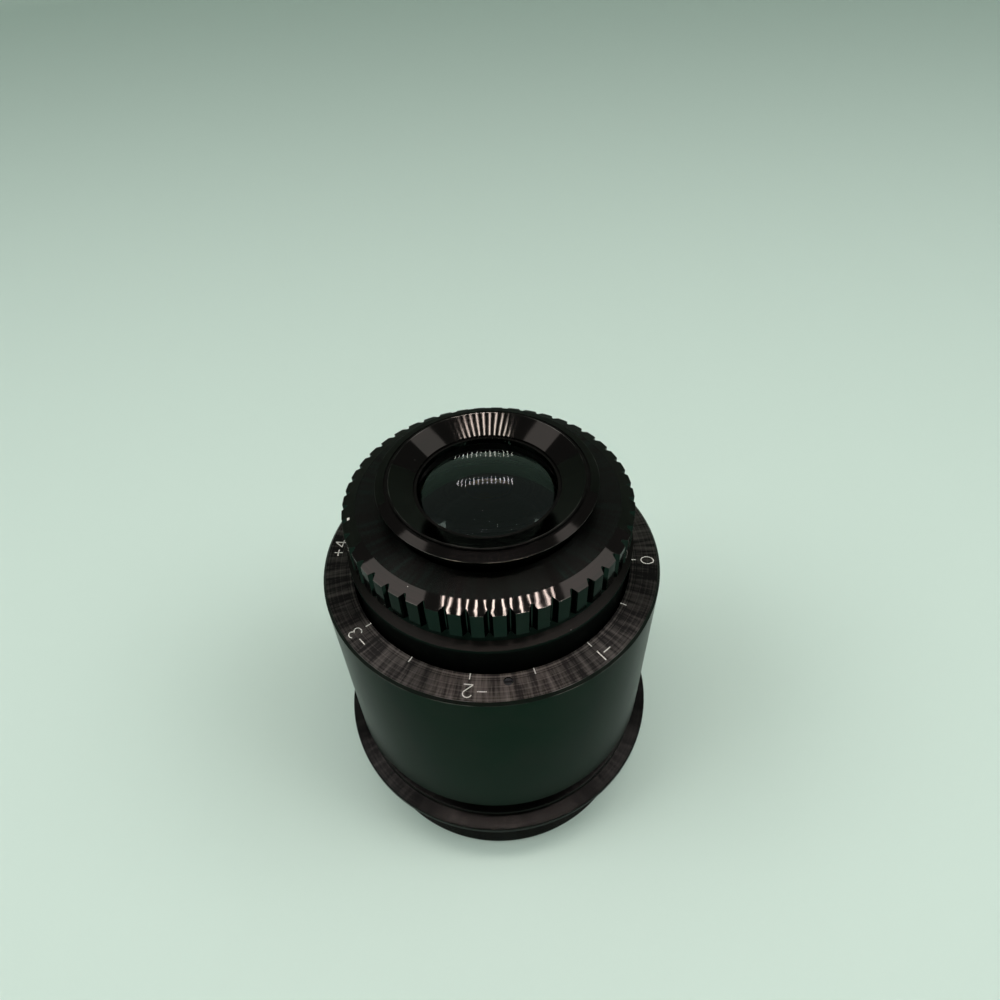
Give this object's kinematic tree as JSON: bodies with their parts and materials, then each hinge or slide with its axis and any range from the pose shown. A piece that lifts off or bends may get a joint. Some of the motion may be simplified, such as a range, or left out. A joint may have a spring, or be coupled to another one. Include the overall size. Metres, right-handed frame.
{
  "type": "focusing eyepiece",
  "caption": "Focusing eyepiece: a toothed grip ring turns on a helicoid and lifts the keyed lens carriage over a scale face; a threaded barrel with a flange mounts it.",
  "frame": {"origin": "centre of the lower end of the mounting barrel, on the optical axis", "axes": "+Z is the optical axis, up towards the eye; -Y is the front, with the mark for minus two; +X is to the right of a viewer at the front"},
  "size_m": [0.0688, 0.0688, 0.0844],
  "materials": {
    "anodised_body": "turned, black anodised, semi-gloss",
    "anodised_ring": "turned and notched, black anodised, worn a little grey",
    "anodised_cup": "finely turned, black anodised",
    "inner_black": "matt black anodised",
    "guide_brass": "turned, greased",
    "dark_steel": "blackened",
    "bright_steel": "ground",
    "coated_glass": "polished, coated against reflections"
  },
  "bodies": {
    "body": {"mount_flange": "anodised_body", "body_sleeve": "anodised_body", "face_screw": "dark_steel", "guide_tube": "guide_brass", "field_stop": "inner_black", "guide_screws": "dark_steel", "stop_block": "guide_brass", "block_screws": "dark_steel"},
    "carriage": {"lens_tube": "inner_black", "thrust_nut": "guide_brass", "thrust_washer": "bright_steel", "eye_cup": "anodised_cup", "eye_ring": "anodised_cup", "eye_crown": "coated_glass", "eye_flint": "coated_glass", "centre_lens": "coated_glass", "lens_spacer": "inner_black", "field_crown": "coated_glass", "field_flint": "coated_glass", "field_ring": "inner_black"},
    "ring": {"grip_ring": "anodised_ring", "grip_screws": "dark_steel", "helicoid_sleeve": "inner_black", "stop_pin": "bright_steel"}
  },
  "joints": [
    {"name": "carriage_slide", "type": "slide", "parent": "body", "child": "carriage", "axis": [0, 0, 1], "range_m": [-0.00472, 0]},
    {"name": "ring_turn", "type": "hinge", "parent": "carriage", "child": "ring", "pos_m": [0, 0, 0.0635], "axis": [0, 0, 1], "range_deg": [-340, 0]}
  ],
  "couplings": [
    {"joint": "ring_turn", "follows": "carriage_slide", "rad_per_m": 1256.6}
  ]
}
